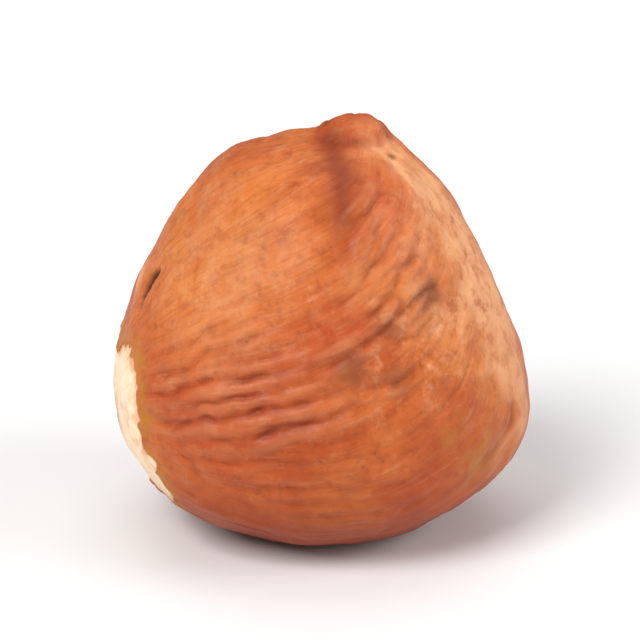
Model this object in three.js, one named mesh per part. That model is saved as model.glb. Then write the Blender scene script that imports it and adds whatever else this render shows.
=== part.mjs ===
// A shelled hazelnut kernel in its skin, standing on the small flat of its base with the tip up.
// Millimetres, +Z up. The origin is on the resting plane, under the middle of the kernel. The front
// faces -Y, and the tip stands off centre, towards +X (the right).
import * as THREE from "three";
import { mergeVertices } from "three/addons/utils/BufferGeometryUtils.js";

// Driving dimensions
const width = 14.5; // left to right
const depth = 13.7; // front to back
const height = 15.0; // resting plane to tip
const tipOffset = 1.25; // how far the tip stands to the right of the middle

// How finely the skin is faceted
const facetsRound = 60;
const ringsPerStretch = 4;

// The outline on each side, from the edge of the resting flat up to the tip. A point is [reach from the
// middle, height], as shares of half the width or depth and of the whole height. The same point of every
// outline lies on one ring round the kernel: the flat's edge, heel, low flank, flank, belly, upper flank,
// shoulder, crown, root of the tip, side of the tip, its rounding and its top.
const outlines = {
  right: [
    [0.33, 0], [0.48, 0.02], [0.8, 0.113], [0.965, 0.225], [1, 0.365], [0.85, 0.56],
    [0.585, 0.775], [0.32, 0.887], [0.19, 0.935], [0.14, 0.966], [0.08, 0.991], [0, 1],
  ],
  back: [
    [0.29, 0], [0.45, 0.02], [0.79, 0.115], [0.955, 0.23], [1, 0.375], [0.905, 0.56],
    [0.68, 0.755], [0.42, 0.87], [0.21, 0.932], [0.14, 0.966], [0.075, 0.991], [0, 1],
  ],
  left: [
    [0.28, 0], [0.46, 0.018], [0.79, 0.113], [0.95, 0.23], [1, 0.38], [0.915, 0.57],
    [0.79, 0.757], [0.6, 0.9], [0.26, 0.945], [0.16, 0.967], [0.08, 0.991], [0, 1],
  ],
  front: [
    [0.32, 0], [0.48, 0.02], [0.8, 0.115], [0.955, 0.23], [1, 0.385], [0.935, 0.57],
    [0.775, 0.768], [0.54, 0.89], [0.22, 0.943], [0.15, 0.967], [0.075, 0.991], [0, 1],
  ],
};
const stretches = outlines.right.length - 1;
const tipRootStretch = 8; // the tip leans over between the belly and here
const bellyStretch = 4;

// Soft swellings and hollows of the surface. Each is centred at an angle round from the right, in
// degrees, and on a ring counted in outline points. It is a bell of that width and height in millimetres.
const swells = [
  { round: 215, ring: 3.2, across: 4.5, lift: 0.2 },
  { round: 300, ring: 5.4, across: 4.2, lift: -0.18 },
  { round: 345, ring: 3.1, across: 3.8, lift: 0.15 },
  { round: 25, ring: 5.4, across: 4.4, lift: -0.2 },
  { round: 75, ring: 3.2, across: 4.6, lift: 0.2 },
  { round: 110, ring: 5.6, across: 4.0, lift: -0.22 },
  { round: 150, ring: 4.6, across: 4.4, lift: 0.15 },
  { round: 250, ring: 6.6, across: 3.2, lift: 0.12 },
];
const flatClearance = 1.2; // a swell fades out over this height above the resting plane

const curves = Object.fromEntries(
  Object.entries(outlines).map(([side, points]) => [
    side,
    new THREE.SplineCurve(points.map(([reach, rise]) => new THREE.Vector2(reach, rise))),
  ]),
);

// A point of the smooth form, at an angle round from the right and a share of the way up the outlines.
function formPoint(round, way) {
  const [east, north] = [Math.cos(round), Math.sin(round)];
  const shares = {
    right: Math.max(0, east) ** 2,
    back: Math.max(0, north) ** 2,
    left: Math.max(0, -east) ** 2,
    front: Math.max(0, -north) ** 2,
  };
  const blend = new THREE.Vector2();
  for (const [side, share] of Object.entries(shares)) {
    blend.addScaledVector(curves[side].getPoint(way), share);
  }
  const lean = THREE.MathUtils.smoothstep(way * stretches, bellyStretch, tipRootStretch);
  return new THREE.Vector3(
    (width / 2) * blend.x * east + tipOffset * lean,
    (depth / 2) * blend.x * north,
    height * blend.y,
  );
}

// How far the swells lift the surface at a point, along the line from the kernel's middle.
const swellCentres = swells.map(({ round, ring }) =>
  formPoint(THREE.MathUtils.degToRad(round), ring / stretches),
);

function liftAt(point) {
  const lifts = swells.map(({ across, lift }, i) => {
    const away = point.distanceTo(swellCentres[i]) / (across / 2);
    return lift * Math.exp(-away * away);
  });
  const clearOfFlat = THREE.MathUtils.smoothstep(point.z, 0, flatClearance);
  return clearOfFlat * lifts.reduce((sum, lift) => sum + lift, 0);
}

// The surface is a sphere whose rings are moved to the outlines. Its lowest ring is the flat's edge.
function kernelGeometry() {
  const rings = 1 + stretches * ringsPerStretch;
  const geometry = new THREE.SphereGeometry(1, facetsRound, rings);
  const { position, uv } = geometry.attributes;
  const middle = new THREE.Vector3(0, 0, height / 2);
  for (let i = 0; i < position.count; i++) {
    const ring = Math.round(uv.getY(i) * rings);
    const round = 2 * Math.PI * uv.getX(i);
    const point = new THREE.Vector3();
    if (ring > 0) {
      point.copy(formPoint(round, (ring - 1) / (rings - 1)));
      const outward = point.clone().sub(middle).normalize();
      point.addScaledVector(outward, liftAt(point));
    }
    position.setXYZ(i, ...point);
  }
  geometry.deleteAttribute("normal");
  geometry.deleteAttribute("uv");
  return fitted(mergeVertices(geometry, 1e-3));
}

// Brings the finished form to the driving dimensions, centred over the origin.
function fitted(geometry) {
  geometry.computeBoundingBox();
  const size = geometry.boundingBox.getSize(new THREE.Vector3());
  geometry.scale(width / size.x, depth / size.y, height / size.z);
  geometry.computeBoundingBox();
  const { min, max } = geometry.boundingBox;
  geometry.translate(-(min.x + max.x) / 2, -(min.y + max.y) / 2, -min.z);
  geometry.computeVertexNormals();
  return geometry;
}

const skin = new THREE.MeshStandardMaterial({ color: 0xc26a3c, roughness: 0.55, metalness: 0 });
const kernel = new THREE.Mesh(kernelGeometry(), skin);
kernel.name = "kernel";

const hazelnut = new THREE.Group();
hazelnut.add(kernel);
export default hazelnut;
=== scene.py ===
"""A shelled hazelnut kernel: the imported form, given its wrinkled, fibrous, partly peeled skin."""
import math

import bpy
import numpy as np
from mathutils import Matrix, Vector, noise
from mathutils.bvhtree import BVHTree


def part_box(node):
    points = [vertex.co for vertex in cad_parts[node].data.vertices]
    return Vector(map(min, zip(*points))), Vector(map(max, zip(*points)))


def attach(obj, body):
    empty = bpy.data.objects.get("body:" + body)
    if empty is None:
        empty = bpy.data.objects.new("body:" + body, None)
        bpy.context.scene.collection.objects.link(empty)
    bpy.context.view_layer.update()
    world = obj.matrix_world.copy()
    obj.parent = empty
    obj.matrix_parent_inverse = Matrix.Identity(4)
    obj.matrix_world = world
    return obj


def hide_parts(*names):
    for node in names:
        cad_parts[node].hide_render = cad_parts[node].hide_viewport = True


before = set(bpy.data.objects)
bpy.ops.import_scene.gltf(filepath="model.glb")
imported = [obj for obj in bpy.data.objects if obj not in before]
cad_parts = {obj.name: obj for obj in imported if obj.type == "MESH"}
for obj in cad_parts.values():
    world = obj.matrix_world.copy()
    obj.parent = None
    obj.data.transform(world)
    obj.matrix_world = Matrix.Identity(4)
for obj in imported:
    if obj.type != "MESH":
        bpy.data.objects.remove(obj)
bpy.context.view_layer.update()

MM = 0.001

# The kernel's own sizes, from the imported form
kernel_low, kernel_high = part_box("kernel")
kernel_size = kernel_high - kernel_low
KERNEL_HEIGHT = kernel_size.z
KERNEL_WIDTH = kernel_size.x
HEART = Vector((0, 0, 0.43 * KERNEL_HEIGHT))  # the middle of the broad part

# How the smooth form and the skin's net are made
MERGE_WITHIN = 0.001 * MM
QUAD_ANGLE = math.radians(60)
FORM_LEVELS = 2  # how often the form is divided
NET_LEVELS = 7  # how often the skin's net is divided, starting from a cube


# ---------------------------------------------------------------- forms, noise and places

def select_only(thing):
    """Makes a thing the only one selected, and the active one."""
    bpy.ops.object.select_all(action="DESELECT")
    thing.select_set(True)
    bpy.context.view_layer.objects.active = thing


def apply_modifier(thing, kind, **settings):
    """Adds a modifier with its settings and applies it."""
    select_only(thing)
    modifier = thing.modifiers.new(kind.title(), kind)
    for name, value in settings.items():
        setattr(modifier, name, value)
    bpy.ops.object.modifier_apply(modifier=modifier.name)


def smooth_form():
    """A merged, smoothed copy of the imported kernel, for the skin to be wrapped on to."""
    form = bpy.data.objects.new("form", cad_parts["kernel"].data.copy())
    bpy.context.scene.collection.objects.link(form)
    select_only(form)
    bpy.ops.object.mode_set(mode="EDIT")
    bpy.ops.mesh.select_all(action="SELECT")
    bpy.ops.mesh.remove_doubles(threshold=MERGE_WITHIN)
    bpy.ops.mesh.tris_convert_to_quads(face_threshold=QUAD_ANGLE, shape_threshold=QUAD_ANGLE)
    bpy.ops.object.mode_set(mode="OBJECT")
    apply_modifier(form, "SUBSURF", levels=FORM_LEVELS, render_levels=FORM_LEVELS)
    return form


def step(low, high, value):
    """A smooth step from 0 at low to 1 at high. High may be the lower one."""
    share = np.clip((value - low) / (high - low), 0, 1)
    return share * share * (3 - 2 * share)


def bell(distance, spread):
    """1 at no distance, falling away smoothly past the spread."""
    return np.exp(-((distance / spread) ** 2))


def ripple(points, octaves, seed):
    """Smooth noise of about -1 to 1 at each point, one wave to a unit. Each seed is another pattern."""
    shift = Vector((17.3 * seed, -9.1 * seed, 5.7 * seed))
    return np.array([noise.fractal(Vector(p) + shift, 1.0, 2.0, octaves) for p in points])


class Surface:
    """The wrapped skin's points, and where each lies along and across the fibres. All distances are in
    millimetres. A place is an angle round from the right, in degrees, and a share of the height."""

    # The fibres run from the tip to the scar where the kernel's base was attached, and drift sideways.
    SCAR_PLACE = (189, 0.30)
    DRIFT = -0.8  # radians of turn to each unit along
    DRIFT_CORE = 5.0  # how far from the tip and the scar the drift has eased off

    NOT_THE_AXIS = (0.3, 0.5, 1.0)  # a direction well off the axis, to find one square to it
    LINE_STEP = 0.07  # a line's steps, as a share of the way between two of its places
    FAR_OFF = 99.0  # stands for any distance beyond a line's margin

    def __init__(self, skin, form):
        self.form = BVHTree.FromObject(form, bpy.context.evaluated_depsgraph_get())
        flat = np.empty(len(skin.data.vertices) * 3, np.float32)
        skin.data.vertices.foreach_get("co", flat)
        self.at = flat.reshape(-1, 3).astype(float) / MM
        self.tip = self.at[self.at[:, 2].argmax()]
        self.scar = self.place(*self.SCAR_PLACE)
        self.from_tip = self.away(self.tip)
        self.from_scar = self.away(self.scar)
        axis = (self.scar - self.tip) / np.linalg.norm(self.scar - self.tip)
        side = np.cross(axis, self.NOT_THE_AXIS)
        side /= np.linalg.norm(side)
        other = np.cross(axis, side)
        arm = self.at - self.tip
        self.along = np.log((self.from_tip + self.DRIFT_CORE) / (self.from_scar + self.DRIFT_CORE))
        self.turn = np.arctan2(arm @ other, arm @ side) + self.DRIFT * self.along
        self.height = self.at[:, 2] / (KERNEL_HEIGHT / MM)
        self.clear = step(0.0, 0.05, self.height)  # 0 at the flat of the base, which stays flat

    def place(self, round_by, share):
        """The point on the form at a place."""
        turn = math.radians(round_by)
        out = Vector((math.cos(turn), math.sin(turn), 0))
        start = Vector((0, 0, share * KERNEL_HEIGHT)) + 3 * KERNEL_WIDTH * out
        hit = self.form.ray_cast(start, -out)[0]
        return np.array(hit) / MM

    def away(self, point):
        """Each point's distance from one point, in millimetres."""
        return np.linalg.norm(self.at - point, axis=1)

    def near(self, round_by, share, spread):
        """A soft round patch about a place."""
        return bell(self.away(self.place(round_by, share)), spread)

    def patches(self, spots):
        """Soft round patches added up, each given by its place, its spread and its strength."""
        return sum(strength * self.near(*place, spread) for place, spread, strength in spots)

    def fibres(self, across, along):
        """Coordinates for noise drawn out along the fibres, closed on themselves round the kernel.
        The larger across and along are, the finer the noise is that way."""
        ring = (across * np.cos(self.turn), across * np.sin(self.turn))
        return np.stack([*ring, along * self.along], axis=1)

    def line(self, places, wander=0.0, seed=0, margin=2.0):
        """Each point's distance from a smooth line through places, and the share of the line passed there.
        It isn't worked out further off than the margin. The line may wander a little to the sides."""
        corners = [self.place(*place) for place in places]
        corners = [2 * corners[0] - corners[1], *corners, 2 * corners[-1] - corners[-2]]
        trail = []
        for a, b, c, d in zip(corners, corners[1:], corners[2:], corners[3:]):
            for t in np.arange(0, 1, self.LINE_STEP):
                trail.append(0.5 * (2 * b + (c - a) * t + (2 * a - 5 * b + 4 * c - d) * t**2
                                    + (3 * b - a - 3 * c + d) * t**3))
        trail.append(corners[-2])
        trail = np.array(trail)
        distance = np.full(len(self.at), self.FAR_OFF)
        passed = np.zeros(len(self.at))
        close = np.all((self.at > trail.min(0) - margin) & (self.at < trail.max(0) + margin), axis=1)
        points = self.at[close]
        if wander:
            points = points + wander * np.stack([ripple(points, 2, seed + k) for k in range(3)], axis=1)
        gaps = np.linalg.norm(points[:, None, :] - trail[None, :, :], axis=2)
        distance[close] = gaps.min(1)
        passed[close] = gaps.argmin(1) / (len(trail) - 1)
        return distance, passed


# ---------------------------------------------------------------- the marks on the skin

# Creases drawn one by one: the places they pass, their half width, and their depth as a share of the
# deepest
CREASES = [
    ([(210, 0.355), (224, 0.375), (240, 0.41), (252, 0.435), (266, 0.465), (280, 0.50)], 0.12, 1.0),
    ([(234, 0.345), (243, 0.36), (252, 0.375), (260, 0.405), (273, 0.43), (284, 0.465)], 0.13, 1.0),
    ([(214, 0.41), (224, 0.44), (236, 0.485), (252, 0.515), (264, 0.54)], 0.11, 0.9),
    ([(216, 0.46), (225, 0.49), (236, 0.55), (246, 0.59), (258, 0.635)], 0.10, 0.8),
    ([(217, 0.385), (226, 0.405), (239, 0.445), (250, 0.475), (268, 0.51)], 0.10, 0.85),
    ([(230, 0.525), (243, 0.565), (252, 0.60)], 0.09, 0.5),
    ([(236, 0.50), (246, 0.53), (256, 0.565), (268, 0.60)], 0.09, 0.5),
    ([(246, 0.385), (258, 0.39), (268, 0.41)], 0.08, 0.5),
    ([(228, 0.335), (240, 0.345), (256, 0.35)], 0.09, 0.45),
    ([(267, 0.535), (277, 0.56), (284, 0.59), (291, 0.61)], 0.12, 0.7),
    ([(288, 0.615), (297, 0.64), (304, 0.67), (313, 0.685)], 0.12, 0.8),
    ([(272, 0.505), (287, 0.49), (295, 0.50), (305, 0.545)], 0.10, 0.75),
    ([(303, 0.545), (311, 0.48)], 0.08, 0.6),
    ([(294, 0.575), (302, 0.595), (312, 0.63)], 0.09, 0.5),
    ([(307, 0.893), (299, 0.88), (286, 0.845), (280, 0.80)], 0.14, 0.85),
    ([(304, 0.825), (292, 0.775), (284, 0.715), (273, 0.665)], 0.13, 0.9),
    ([(311, 0.79), (299, 0.725), (290, 0.665), (280, 0.62)], 0.12, 0.8),
    ([(302, 0.865), (291, 0.81), (284, 0.755), (277, 0.70)], 0.11, 0.7),
    ([(235, 0.235), (266, 0.255), (300, 0.255)], 0.11, 0.45),
    ([(243, 0.175), (277, 0.18), (300, 0.20)], 0.12, 0.4),
    ([(228, 0.295), (245, 0.31), (262, 0.32)], 0.10, 0.45),
    ([(214, 0.505), (223, 0.54), (234, 0.60), (245, 0.655)], 0.09, 0.5),
    ([(218, 0.57), (229, 0.61), (241, 0.66), (251, 0.71)], 0.09, 0.45),
]
WIDEN = 1.35  # every crease is cut this much wider than its half width

# The groove below the tip, the slit with its lip, and the dusty slope, as lines through places
GROOVE = [(292, 0.962), (283, 0.91), (279, 0.84), (276, 0.74)]
SLIT = [(198, 0.67), (194, 0.635), (193, 0.60), (196, 0.555)]
SLIT_LIP = [(192, 0.685), (186, 0.64), (185, 0.60), (190, 0.545)]
DUSTY_SLOPE = [(340, 0.925), (338, 0.865), (338, 0.76), (338, 0.62), (341, 0.46), (345, 0.33)]

# The peeled place, as overlapping rounds: where each is centred, and how far it reaches
PEELED = [
    ((195, 0.375), 1.35),
    ((199, 0.29), 1.65),
    ((205, 0.205), 1.25),
    ((180, 0.33), 2.0),
    ((186, 0.23), 1.7),
    ((170, 0.40), 1.1),
    ((214, 0.25), 0.45),
]

# Soft round patches: the place, the spread and the strength of each
BROWN_STAINS_AND_SHADE = [
    ((309, 0.67), 0.55, 1.3),
    ((205, 0.975), 0.22, 1.2),
    ((333, 0.93), 0.2, 1.2),
    ((292, 0.62), 0.65, 1.0),
    ((279, 0.54), 0.7, 0.8),
    ((293, 0.50), 0.6, 0.8),
    # Painted shade round the creases in front, not a stain
    ((274, 0.50), 1.8, 0.35),
]
OLIVE_STAINS = [
    ((311, 0.35), 0.65, 0.7),
    ((323, 0.265), 1.0, 1.2),
    ((215, 0.36), 0.5, 1.0),
    ((60, 0.3), 1.1, 1.0),
]
DUST_AND_SHEEN_HAZE = [
    # A painted sheen over the upper left face
    ((234, 0.70), 3.2, 0.42),
    ((331, 0.865), 0.9, 0.7),
]

# Broad tones of the skin: their soft patches in front, and then the seed of the noise that spreads them
# over the far side, and the level where it begins. Blotchy is where pale and deep specks lie close
# together.
TONES = {
    "golden": ([((222, 0.75), 4.2, 1.0), ((299, 0.66), 1.6, 0.7), ((332, 0.42), 1.6, 0.9),
                ((316, 0.52), 1.8, 0.8), ((338, 0.27), 1.6, 0.8)], 91, 0.1),
    # The rosy patch at 275 degrees, in the hollow below the groove, is painted shade
    "rosy_and_shade": ([((238, 0.40), 3.4, 1.0), ((275, 0.61), 2.2, 0.9), ((298, 0.88), 1.8, 0.9),
              ((305, 0.28), 2.2, 0.6)], 92, 0.1),
    "blotchy": ([((303, 0.58), 2.0, 1.0), ((330, 0.72), 2.2, 0.7), ((285, 0.45), 1.5, 0.4),
                 ((324, 0.42), 1.8, 0.6)], 93, 0.0),
}


def crease_marks(surface):
    """The creases, and the swollen lips beside them."""
    cut = np.zeros(len(surface.at))
    lip = np.zeros(len(surface.at))
    broken = 0.6 + 0.4 * step(-0.35, 0.25, ripple(surface.at, 2, 4))
    for number, (places, half_width, depth) in enumerate(CREASES):
        distance, passed = surface.line(places, wander=0.14, seed=5 + number)
        half_width = half_width * WIDEN
        fading = depth * np.sin(np.pi * np.clip(passed, 0.04, 0.96)) ** 0.6 * broken
        cut = np.maximum(cut, fading * bell(distance, half_width))
        lip = np.maximum(lip, fading * bell(distance - 2.2 * half_width, half_width))
    return {"crease": cut, "lip": lip}


def wrinkle_marks(surface, crease):
    """Wrinkles along the fibres, as valleys where a drawn-out noise crosses zero, and the fibres
    themselves as ridges."""
    at = surface.at
    fade_at_poles = step(0.6, 2.2, surface.from_tip) * step(0.8, 2.6, surface.from_scar)
    smooth_face = surface.near(231, 0.72, 3.8)
    slack = step(-0.45, 0.5, ripple(at / 4.5, 2, 3)) * (1 - 0.85 * smooth_face)

    waves = ripple(surface.fibres(4.2, 2.2), 2, 1) + 0.35 * ripple(at / 1.3, 1, 2)
    strength = slack * step(-0.25, 0.35, ripple(at / 2.4, 2, 8)) * fade_at_poles
    tight_waves = ripple(surface.fibres(8.5, 3.6), 2, 6) + 0.3 * ripple(at / 0.8, 1, 7)
    tight_strength = step(-0.2, 0.3, ripple(at / 1.7, 2, 9)) * fade_at_poles * (1 - 0.7 * smooth_face)
    folds = np.maximum(strength * bell(waves, 0.14), 0.6 * tight_strength * bell(tight_waves, 0.2))

    fine = ripple(surface.fibres(11.0, 3.0), 3, 11)
    finer = ripple(surface.fibres(23.0, 4.0), 2, 12)
    return {
        "wrinkle": folds * (1 - 0.6 * np.clip(crease * 3, 0, 1)),
        "fibre": np.clip(0.5 + 0.7 * (0.6 * fine + 0.4 * finer) * fade_at_poles, 0, 1),
    }


def form_marks(surface):
    """Lumps and hollows of the flesh under the skin, and ridges fanning out from the tip."""
    at = surface.at
    below_tip = step(0.5, 3.0, surface.from_tip)
    fan = ripple(surface.fibres(3.4, 0.8), 1, 21)
    pleat = ripple(surface.fibres(6.5, 0.8), 2, 22)
    return {
        "slope": surface.near(338, 0.86, 2.2) * step(0.9, 1.8, surface.from_tip),
        "flank": surface.near(355, 0.36, 3.0),
        "hollow": surface.near(276, 0.60, 1.9),
        "lump": np.clip(0.5 + 0.55 * ripple(at / 2.6, 2, 31), 0, 1) * below_tip,
        "dimple": np.clip(0.5 + 0.6 * ripple(at / 0.95, 2, 32), 0, 1) * below_tip,
        "fan": np.clip(0.5 + 0.9 * fan, 0, 1) * bell(surface.from_tip - 2.6, 1.9),
        "pleat": np.clip(0.5 + 0.8 * pleat, 0, 1) * bell(surface.from_tip - 1.5, 0.9),
    }


def tip_marks(surface):
    """The stub at the tip with the seam round its root, and the groove that runs down from it."""
    at = surface.at
    from_tip = surface.from_tip
    distance, passed = surface.line(GROOVE, wander=0.1, seed=41)
    root = np.abs(from_tip - 1.32 - 0.18 * ripple(at / 0.9, 2, 43))
    return {
        "groove": bell(distance, 0.58 + 0.15 * ripple(at / 0.8, 1, 42)) * step(1.0, 0.5, passed),
        "root": bell(root, 0.26) * (0.3 + 0.7 * step(-0.2, 0.4, ripple(at / 1.3, 1, 44))),
        "nub": step(2.3, 1.1, from_tip + 0.3 * ripple(at / 0.8, 2, 45)),
        "knob": step(1.35, 0.6, from_tip + 0.2 * ripple(at / 0.8, 2, 46)),
        "stub": np.clip(0.5 + 0.7 * ripple(at / 0.5, 3, 47), 0, 1) * step(1.7, 0.7, from_tip),
    }


def slit_marks(surface):
    """The slit, torn to a point at both ends, and its pale lip."""
    distance, passed = surface.line(SLIT, wander=0.1, seed=51)
    open_by = 0.31 * np.sin(np.pi * passed) ** 0.8 + 0.05 * ripple(surface.at / 0.3, 2, 53)
    slit = step(0.1, -0.12, distance - open_by)
    distance, passed = surface.line(SLIT_LIP, wander=0.12, seed=52)
    lip_width = 0.26 + 0.12 * ripple(surface.at / 0.5, 2, 54)
    return {"slit": slit, "slit_lip": bell(distance, lip_width) * np.sin(np.pi * passed) * (1 - slit)}


def peel_marks(surface):
    """The peeled place over the scar: ragged tongues of skin reach into it along the fibres."""
    at = surface.at
    inside = np.max([reach - surface.away(surface.place(*place)) for place, reach in PEELED], axis=0)
    inside += 0.3 * ripple(surface.fibres(1.6, 1.0), 1, 61) + 0.28 * ripple(surface.fibres(5.0, 2.0), 2, 62)
    inside += 0.22 * ripple(at / 0.7, 3, 63)
    round_the_side = 1 - surface.near(204, 0.28, 2.4)
    inside += round_the_side * (0.75 * ripple(at / 1.9, 3, 69)
                                + 0.25 * ripple(surface.fibres(7.0, 1.0), 1, 70))
    scrap = step(0.32, 0.5, ripple(surface.fibres(3.0, 5.0), 2, 64) + 0.4 * ripple(at / 0.45, 2, 65))
    return {
        "bare": step(-0.05, 0.05, inside) * (1 - 0.9 * scrap * surface.near(168, 0.36, 1.3)),
        "torn": bell(inside + 0.13, 0.15) * step(-0.1, 0.5, ripple(at / 0.9, 2, 67)),
        "thin": bell(inside + 0.1, 0.5 + 0.25 * ripple(at / 0.8, 2, 68)),
        "cork": step(1.6, 0.3, surface.from_scar + 0.5 * ripple(at / 0.7, 2, 66)),
    }


def dust_and_sheen_mark(surface):
    """Dust on the right slope, in a band that narrows up and down, and in patches elsewhere. The broad pale
    patch on the upper left face is a painted sheen.
    """
    at = surface.at
    distance, _ = surface.line(DUSTY_SLOPE, wander=0.5, seed=71, margin=7.0)
    width = 2.9 - 2.1 * step(0.65, 0.3, surface.height) - 1.4 * step(0.78, 0.96, surface.height)
    band = bell(distance + 0.4 * ripple(at / 1.6, 3, 73), 0.85 * width)
    band *= 0.6 + 0.4 * step(-0.4, 0.4, ripple(at / 1.9, 2, 74))
    patches = step(0.15, 0.7, ripple(at / 3.6, 3, 72)) * (1 - surface.near(250, 0.6, 7.5))
    return np.clip(1.2 * band + 0.5 * patches + surface.patches(DUST_AND_SHEEN_HAZE), 0, 1)


def stain_and_shade_marks(surface):
    """Brown and olive stains, a brown patch of painted shade round the creases in front, and the broad
    tones of the skin, the rosy one with painted shade in the hollow.
    """
    at = surface.at
    far_side = 1 - surface.near(262, 0.5, 7.5)
    off_the_dust = 1 - surface.near(328, 0.86, 3.2)
    far_brown = 0.8 * step(0.3, 1.0, ripple(at / 2.4, 4, 83)) * far_side * off_the_dust
    ragged = 0.9 + 0.5 * ripple(at / 0.6, 2, 82)
    marks = {
        "brown": np.clip(surface.patches(BROWN_STAINS_AND_SHADE) * ragged + far_brown, 0, 1),
        "olive": np.clip(surface.patches(OLIVE_STAINS), 0, 1),
    }
    for name, (spots, seed, level) in TONES.items():
        on_far_side = 0.8 * step(level, 0.6, ripple(at / 4.0, 2, seed)) * far_side
        marks[name] = np.clip(surface.patches(spots) + on_far_side, 0, 1)
    return marks


def mark_skin(surface):
    """Every mark on the skin as a share from 0 to 1 at each point, for the relief and for the colours."""
    marks = crease_marks(surface)
    marks.update(wrinkle_marks(surface, marks["crease"]))
    marks.update(form_marks(surface))
    marks.update(tip_marks(surface))
    marks.update(slit_marks(surface))
    marks.update(peel_marks(surface))
    marks.update(stain_and_shade_marks(surface))
    marks["dust_and_sheen"] = dust_and_sheen_mark(surface)

    # The flesh has no creases, and only faint fibres
    bare = marks["bare"]
    for name in ("crease", "wrinkle", "lip"):
        marks[name] = marks[name] * (1 - bare)
    marks["fibre"] = 0.5 + (marks["fibre"] - 0.5) * (1 - 0.7 * bare)
    return marks


# How far each mark lifts the skin, or cuts into it where the number is negative, in millimetres
RELIEF = {
    "slope": -0.2,
    "flank": 0.12,
    "hollow": -0.14,
    "lump": 0.18,
    "dimple": 0.06,
    "fan": 0.18,
    "pleat": 0.09,
    "groove": -0.2,
    "root": -0.12,
    "knob": 0.01,
    "stub": 0.09,
    "wrinkle": -0.075,
    "crease": -0.19,
    "lip": 0.09,
    "fibre": 0.06,
    "slit": -0.3,
    "slit_lip": 0.06,
    "bare": -0.08,
    "torn": 0.06,
}
LEAST_SHARE = 0.002  # a mark fainter than this moves nothing

# The marks that the material reads
SHOWN_MARKS = [
    "crease", "lip", "wrinkle", "groove", "root", "nub", "slit", "slit_lip", "bare", "thin", "cork",
    "dust_and_sheen", "brown", "olive", "blotchy", "golden", "rosy_and_shade",
]


def wrap_skin(form):
    """The skin as an even net of small faces, wrapped on to the form from all round."""
    bpy.ops.object.select_all(action="DESELECT")
    bpy.ops.mesh.primitive_cube_add(size=2 * KERNEL_HEIGHT, location=HEART)
    skin = bpy.context.object
    skin.name = "hazelnut_kernel"
    skin.data.name = "hazelnut_kernel"
    apply_modifier(skin, "SUBSURF", levels=NET_LEVELS, render_levels=NET_LEVELS)
    apply_modifier(skin, "CAST", factor=1.0, radius=KERNEL_HEIGHT,
                   use_radius_as_size=False, size=KERNEL_HEIGHT)
    apply_modifier(skin, "SHRINKWRAP", target=form, wrap_method="PROJECT",
                   use_negative_direction=True, use_positive_direction=False)
    select_only(skin)
    bpy.ops.object.transform_apply(location=True, rotation=True, scale=True)
    bpy.ops.object.shade_smooth()
    return skin


def raise_relief(skin, surface, marks):
    """Moves the skin out and in by its marks, one after another."""
    for name, lift in RELIEF.items():
        group = skin.vertex_groups.new(name=name)
        shares = marks[name] * surface.clear
        for index in np.nonzero(shares > LEAST_SHARE)[0]:
            group.add([int(index)], float(shares[index]), "REPLACE")
        apply_modifier(skin, "DISPLACE", vertex_group=name, strength=lift * MM, mid_level=0.0)
        skin.vertex_groups.clear()


def store_marks(skin, surface, marks):
    """Keeps the marks, and the fibres' coordinates, on the mesh for the material."""
    for name in SHOWN_MARKS:
        layer = skin.data.attributes.new(name, "FLOAT", "POINT")
        layer.data.foreach_set("value", marks[name].astype(np.float32))
    layer = skin.data.attributes.new("fibres", "FLOAT_VECTOR", "POINT")
    layer.data.foreach_set("vector", surface.fibres(1.0, 1.0).astype(np.float32).ravel())


# ---------------------------------------------------------------- materials

class Wire:
    """A node's output. Arithmetic on it adds Math nodes, so that a finish reads as a formula."""

    def __init__(self, tree, socket=None):
        self.tree = tree
        self.socket = socket

    def node(self, kind, settings=None, inputs=None, output=0):
        """Adds a node: its settings first, then its inputs, as numbers, colours or other wires."""
        node = self.tree.nodes.new(kind)
        for name, value in (settings or {}).items():
            setattr(node, name, value)
        for name, value in (inputs or {}).items():
            socket = self.pick(node.inputs, name)
            if isinstance(value, Wire):
                self.tree.links.new(value.socket, socket)
            else:
                socket.default_value = value
        return Wire(self.tree, self.pick(node.outputs, output) if node.outputs else None)

    @staticmethod
    def pick(sockets, name):
        """A socket by its number, its identifier or its name."""
        if isinstance(name, int):
            return sockets[name]
        return next((s for s in sockets if s.identifier == name), None) or sockets[name]

    def math(self, operation, a, b):
        """The result of a Math node on two wires or numbers."""
        return self.node("ShaderNodeMath", {"operation": operation}, {0: a, 1: b})

    def __add__(self, other):
        return self.math("ADD", self, other)

    def __radd__(self, other):
        return self.math("ADD", other, self)

    def __sub__(self, other):
        return self.math("SUBTRACT", self, other)

    def __rsub__(self, other):
        return self.math("SUBTRACT", other, self)

    def __mul__(self, other):
        return self.math("MULTIPLY", self, other)

    def __rmul__(self, other):
        return self.math("MULTIPLY", other, self)

    def within(self, low, high):
        """A smooth step from 0 at low to 1 at high."""
        settings = {"interpolation_type": "SMOOTHSTEP"}
        return self.node("ShaderNodeMapRange", settings, {"Value": self, "From Min": low, "From Max": high})

    def mix(self, first, second, share):
        """One colour, turned towards a second by a share."""
        inputs = {"Factor_Float": share, "A_Color": first, "B_Color": second}
        return self.node("ShaderNodeMix", {"data_type": "RGBA"}, inputs, "Result_Color")

    def tint(self, colour, share):
        """This colour, turned towards another by a share."""
        return self.mix(self, colour, share)

    def scaled(self, factor):
        """This vector times a number, or by three numbers."""
        by = factor if isinstance(factor, tuple) else (factor,) * 3
        return self.node("ShaderNodeVectorMath", {"operation": "MULTIPLY"}, {0: self, 1: by})


def srgb(red, green, blue):
    """A colour written as 0 to 255 for the eye, turned into the shader's linear shares."""
    def linear(level):
        share = level / 255
        return share / 12.92 if share <= 0.04045 else ((share + 0.055) / 1.055) ** 2.4
    return (linear(red), linear(green), linear(blue), 1.0)


def new_material(name):
    """An empty material and the wire to start its nodes from."""
    material = bpy.data.materials.new(name)
    material.use_nodes = True
    material.node_tree.nodes.clear()
    return material, Wire(material.node_tree)
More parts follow.
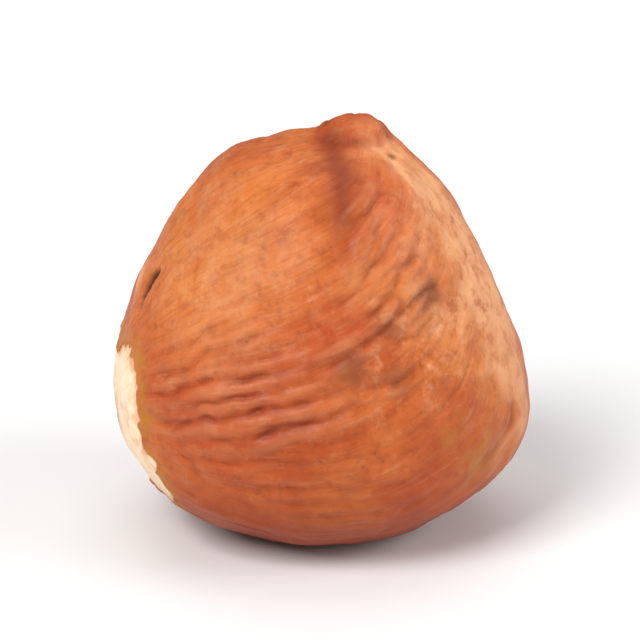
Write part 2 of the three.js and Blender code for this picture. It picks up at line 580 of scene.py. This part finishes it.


# The colours of the skin, of what lies on it, of painted shade and highlights, and of the flesh
SKIN_LIGHT = srgb(202, 108, 48)
SKIN_MID = srgb(172, 74, 26)
# The skin's deep tone; also painted shade low down
SKIN_DEEP_AND_SHADE = srgb(142, 50, 16)
GOLDEN = srgb(210, 124, 56)
# A rosy tone of the skin; also painted shade in the hollow below the groove
ROSY_AND_SHADE = srgb(174, 66, 32)
# Dark brown for painted shade in the creases and the seam at the tip, and for pores
SHADE_AND_PORE_BROWN = srgb(108, 40, 20)
# Brown for stains, and for a patch of painted shade round the creases
STAIN_AND_SHADE_BROWN = srgb(116, 54, 26)
# Painted shade in the groove below the tip
GROOVE_SHADE_BROWN = srgb(124, 46, 14)
OLIVE = srgb(178, 116, 34)
# Pale dust; also painted highlights on the creases' lips and a painted sheen on the upper left face
DUST_AND_HIGHLIGHT = srgb(230, 167, 119)
NUB_ORANGE = srgb(178, 72, 22)
FLESH = srgb(244, 216, 182)
CORK = srgb(196, 146, 100)
# Painted shade inside the slit
SLIT_SHADE = srgb(72, 32, 18)
SPECK = srgb(104, 52, 34)


def skin_material():
    """Satin, papery skin with its fibres, creases, dust and stains, and the flesh where it has peeled.
    Shade is painted into the creases, groove, seam, slit, hollow and lower half, and highlights and a sheen
    are painted on.
    """
    material, start = new_material("hazelnut_skin")
    place = start.node("ShaderNodeTexCoord", output="Object").scaled(1 / MM)

    def mark(name):
        """A mark's share at each point, as stored on the mesh."""
        return start.node("ShaderNodeAttribute", {"attribute_name": name}, output="Fac")

    def cloud(size, detail, where=place, roughness=0.55):
        """Noise from 0 to 1, its waves about so many millimetres across."""
        inputs = {"Vector": where, "Scale": 1 / size, "Detail": detail, "Roughness": roughness}
        return start.node("ShaderNodeTexNoise", inputs=inputs, output="Fac")

    # Noise drawn out along the fibres, and noise that is the same every way
    fibres = start.node("ShaderNodeAttribute", {"attribute_name": "fibres"}, output="Vector")
    streaks = cloud(1.0, 4.0, fibres.scaled((14.0, 14.0, 3.0)), 0.65)
    hairs = cloud(1.0, 3.0, fibres.scaled((46.0, 46.0, 7.0)), 0.6)
    grain = cloud(0.13, 3.0)
    mottle = cloud(0.55, 4.0)
    patches = cloud(2.6, 3.0)
    powder = cloud(0.3, 8.0, roughness=0.8)
    flakes = cloud(0.9, 9.0, roughness=0.72)
    pores = cloud(0.42, 3.0, roughness=0.7)
    blotches = cloud(0.85, 5.0, roughness=0.65)

    tall = KERNEL_HEIGHT / MM
    height = start.node("ShaderNodeSeparateXYZ", inputs={"Vector": place}, output="Z")
    # Painted shade: the skin darkens towards the bottom, and more at the base
    base_shade = height.within(0.3 * tall, 0.02 * tall)
    lower_half_shade = height.within(0.62 * tall, 0.3 * tall)

    bare = mark("bare")
    dust_and_sheen = mark("dust_and_sheen")
    blotchy = mark("blotchy")
    powdered = (dust_and_sheen + 1.1 * (flakes - 0.5)).within(0.05, 1.15)
    stained_and_shaded = (mark("brown") + 0.9 * (flakes - 0.5)).within(0.05, 1.2)
    # Where creases and wrinkles cut in, the colour is darkened: painted shade
    crease_shade = (mark("crease") + 0.6 * mark("wrinkle")).within(0.12, 1.1)

    # Broad patches of the skin's own tones, and painted shade in the hollow below the groove
    colour = start.mix(SKIN_MID, SKIN_LIGHT, patches.within(0.35, 0.62))
    colour = colour.tint(GOLDEN, mark("golden") * 0.75)
    colour = colour.tint(ROSY_AND_SHADE, mark("rosy_and_shade") * 0.68)

    # Streaks and hairs along the fibres, pores, and mottling
    colour = colour.tint(SKIN_DEEP_AND_SHADE, streaks.within(0.45, 0.75) * 0.4)
    colour = colour.tint(SKIN_DEEP_AND_SHADE, hairs.within(0.45, 0.3) * 0.3)
    colour = colour.tint(DUST_AND_HIGHLIGHT, hairs.within(0.52, 0.75) * (0.06 + 0.16 * flakes.within(0.4, 0.6)))
    colour = colour.tint(SHADE_AND_PORE_BROWN, pores.within(0.52, 0.7) * 0.3)
    colour = colour.tint(SKIN_DEEP_AND_SHADE, mottle.within(0.5, 0.72) * 0.4)
    colour = colour.tint(DUST_AND_HIGHLIGHT, mottle.within(0.48, 0.28) * powder.within(0.45, 0.65) * 0.3)

    # The tip, olive stains, dust with a painted sheen on the upper left face, blotches, and brown stains
    # with a patch of painted shade
    colour = colour.tint(NUB_ORANGE, mark("nub") * (0.4 + 0.5 * blotches.within(0.6, 0.4)))
    colour = colour.tint(OLIVE, mark("olive") * flakes.within(0.35, 0.55) * 0.8)
    colour = colour.tint(DUST_AND_HIGHLIGHT, powdered * (0.55 + 0.45 * blotches.within(0.36, 0.56)) * 0.9)
    colour = colour.tint(DUST_AND_HIGHLIGHT, blotchy * blotches.within(0.52, 0.68) * 0.5)
    colour = colour.tint(SKIN_DEEP_AND_SHADE, blotchy * blotches.within(0.47, 0.33) * 0.5)
    colour = colour.tint(STAIN_AND_SHADE_BROWN, stained_and_shaded * 0.8)

    # Painted shade in the creases, painted highlights on their lips, painted shade darkening the lower half
    # and the base, and painted shade in the groove and the seam at the tip
    # The lips beside the creases are lightened: a painted highlight
    colour = colour.tint(DUST_AND_HIGHLIGHT, mark("lip") * 0.23)
    colour = colour.tint(SHADE_AND_PORE_BROWN, crease_shade * 0.75)
    colour = colour.tint(SKIN_DEEP_AND_SHADE, lower_half_shade * 0.22)
    colour = colour.tint(SKIN_DEEP_AND_SHADE, base_shade * 0.9)
    # The groove is darkened: painted shade
    colour = colour.tint(GROOVE_SHADE_BROWN, mark("groove") * 0.85)
    # The seam round the stub is darkened: painted shade
    colour = colour.tint(SHADE_AND_PORE_BROWN, mark("root") * 0.5)

    # Dark specks, painted shade in the slit, its pale lip, and the thin skin beside the peeled place
    dots = start.node("ShaderNodeTexVoronoi", inputs={
        "Vector": place, "Scale": 1.3, "Randomness": 1.0}, output="Distance")
    specks = (dots + 0.06 * grain).within(0.12, 0.05) * mottle.within(0.45, 0.6)
    colour = colour.tint(SPECK, specks * 0.55)
    colour = colour.tint(DUST_AND_HIGHLIGHT, mark("slit_lip") * flakes.within(0.3, 0.55) * 0.7)
    colour = colour.tint(OLIVE, mark("thin") * mottle.within(0.3, 0.55) * 0.7)
    colour = colour.tint(SLIT_SHADE, mark("slit").within(0.05, 0.9))

    # Flesh, with cork and scraps of skin in the middle of the scar
    flesh = start.mix(FLESH, CORK, mottle.within(0.45, 0.75) * 0.5)
    flesh = flesh.tint(CORK, streaks.within(0.5, 0.7) * 0.15)
    flesh = flesh.tint(CORK, mark("cork") * flakes.within(0.4, 0.55) * 0.9)
    flesh = flesh.tint(GOLDEN, (mark("thin") + 1.5 * (flakes - 0.5)).within(0.5, 1.0) * 0.6)
    colour = colour.tint(flesh, bare.within(0.35, 0.65))

    # Dust is the dullest, and the fibres have a little more gloss than the skin between them
    roughness = 0.46 + 0.16 * dust_and_sheen + 0.12 * (grain - 0.5) - 0.06 * (1 - bare) * streaks

    # Fine relief: hair-fine fibres, grain, and the dust's powder
    fine = 0.5 * streaks + 0.4 * hairs + 0.35 * grain + 0.3 * mottle + powdered * 0.7 * powder
    bump = start.node("ShaderNodeBump", inputs={
        "Height": fine, "Distance": 0.036 * MM, "Strength": 1.0}, output="Normal")
    shader = start.node("ShaderNodeBsdfPrincipled", inputs={
        "Base Color": colour, "Roughness": roughness, "Normal": bump,
        "Specular IOR Level": 0.2, "Sheen Weight": 0.02, "Sheen Roughness": 0.5})
    start.node("ShaderNodeOutputMaterial", inputs={"Surface": shader})
    return material


def floor_material():
    """Plain pale matte board."""
    material, start = new_material("pale_floor")
    shader = start.node("ShaderNodeBsdfPrincipled", inputs={
        "Base Color": (0.8, 0.8, 0.8, 1.0), "Roughness": 0.8, "Specular IOR Level": 0.2})
    start.node("ShaderNodeOutputMaterial", inputs={"Surface": shader})
    return material


# ---------------------------------------------------------------- the studio

FLOOR_SIZE = 200 * KERNEL_WIDTH

# The soft lights: where each hangs from the kernel's heart and how wide it is, both in kernel heights, and
# its power in watts
SOFTBOXES = {
    "key_light": ((-22, -26, 34), 24.0, 4.8),
    "fill_light": ((36, -8, 18), 24.0, 2.1),
    "top_light": ((0, 15, 40), 34.0, 1.2),
}
WORLD_LIGHT = 0.4  # how much light comes from all round
WORLD_SEEN = 0.9  # how bright the surroundings look behind the floor's edge

CAMERA_ELEVATION = math.radians(20)
LENS = 200.0  # millimetres, as the sensor
SENSOR = 36.0
FILL = 0.66  # the share of the view that the kernel's height takes


def add_floor():
    """A wide plain floor under the kernel."""
    bpy.ops.object.select_all(action="DESELECT")
    bpy.ops.mesh.primitive_plane_add(size=FLOOR_SIZE, location=(0, 0, kernel_low.z))
    floor = bpy.context.object
    floor.name = "floor"
    floor.data.materials.append(floor_material())


def add_softbox(name, place, size, power):
    """A square soft light, aimed at the kernel's heart."""
    light = bpy.data.lights.new(name, "AREA")
    light.shape = "SQUARE"
    light.size = size * KERNEL_HEIGHT
    light.energy = power
    lamp = bpy.data.objects.new(name, light)
    bpy.context.scene.collection.objects.link(lamp)
    lamp.location = HEART + Vector(place) * KERNEL_HEIGHT
    lamp.rotation_euler = (HEART - lamp.location).to_track_quat("-Z", "Y").to_euler()


def add_lights():
    """The softboxes, and a white world that looks brighter than it lights."""
    for name, (place, size, power) in SOFTBOXES.items():
        add_softbox(name, place, size, power)
    world = bpy.data.worlds.new("soft_white")
    bpy.context.scene.world = world
    world.use_nodes = True
    world.node_tree.nodes.clear()
    start = Wire(world.node_tree)
    seen = start.node("ShaderNodeLightPath", output="Is Camera Ray")
    strength = WORLD_LIGHT + (WORLD_SEEN - WORLD_LIGHT) * seen
    background = start.node("ShaderNodeBackground", inputs={"Strength": strength})
    start.node("ShaderNodeOutputWorld", inputs={"Surface": background})
    bpy.context.scene.view_settings.view_transform = "Standard"


def add_camera():
    """Level with the front of the kernel and a little above it, far off with a long lens."""
    middle = Vector((0, 0, 0.5 * KERNEL_HEIGHT))
    camera_data = bpy.data.cameras.new("camera")
    camera_data.lens = LENS
    camera_data.sensor_width = SENSOR
    distance = KERNEL_HEIGHT / FILL * LENS / SENSOR
    camera_data.clip_start = 0.1 * distance
    camera_data.clip_end = 100 * distance
    camera = bpy.data.objects.new("camera", camera_data)
    bpy.context.scene.collection.objects.link(camera)
    towards = Vector((0, -math.cos(CAMERA_ELEVATION), math.sin(CAMERA_ELEVATION)))
    camera.location = middle + distance * towards
    camera.rotation_euler = (middle - camera.location).to_track_quat("-Z", "Y").to_euler()
    bpy.context.scene.camera = camera


# ---------------------------------------------------------------- putting it together

add_camera()
add_lights()
add_floor()

form = smooth_form()
kernel = wrap_skin(form)
surface = Surface(kernel, form)
marks = mark_skin(surface)
raise_relief(kernel, surface, marks)
store_marks(kernel, surface, marks)
bpy.data.objects.remove(form)
kernel.data.materials.append(skin_material())

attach(kernel, "root")
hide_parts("kernel")
